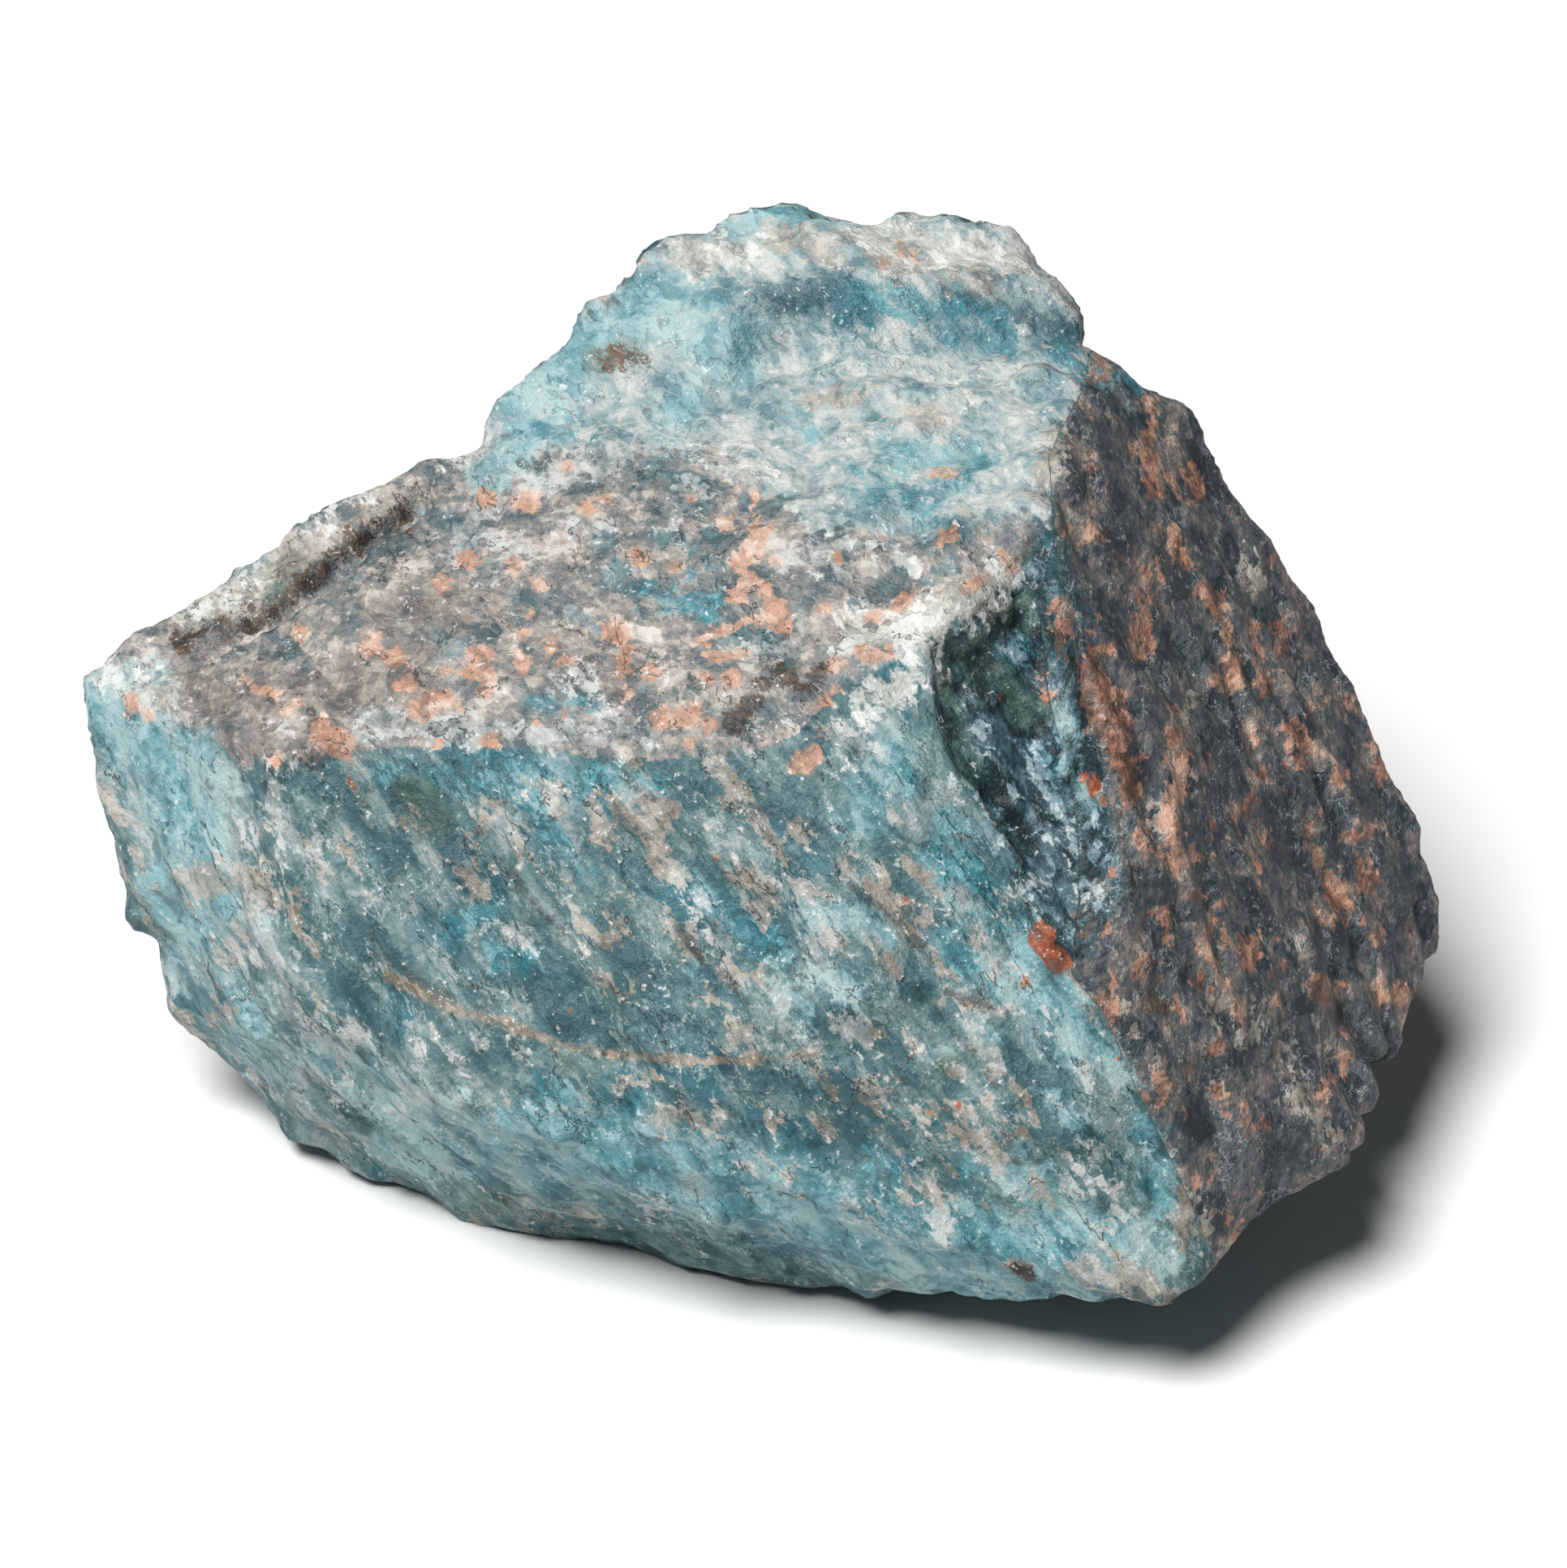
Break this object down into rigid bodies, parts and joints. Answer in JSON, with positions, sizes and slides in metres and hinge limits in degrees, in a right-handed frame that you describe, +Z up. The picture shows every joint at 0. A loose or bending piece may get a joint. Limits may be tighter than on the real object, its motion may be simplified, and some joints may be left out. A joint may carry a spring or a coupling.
{
  "type": "rough apatite stone",
  "caption": "Rough lump of massive blue-green apatite with broken faces, a worn brown-pink crust and a chipped corner, resting on a small flat spot.",
  "frame": {"origin": "under the middle of the stone's box, on the surface that it rests on", "axes": "+X to the right along the stone's length, +Y from the broad leaning front to the back, +Z up from the flat spot"},
  "size_m": [0.0638, 0.0458, 0.0368],
  "materials": {
    "apatite": "rough broken stone with glassy grains"
  },
  "bodies": {
    "root": {"apatite_stone": "apatite"}
  },
  "joints": []
}
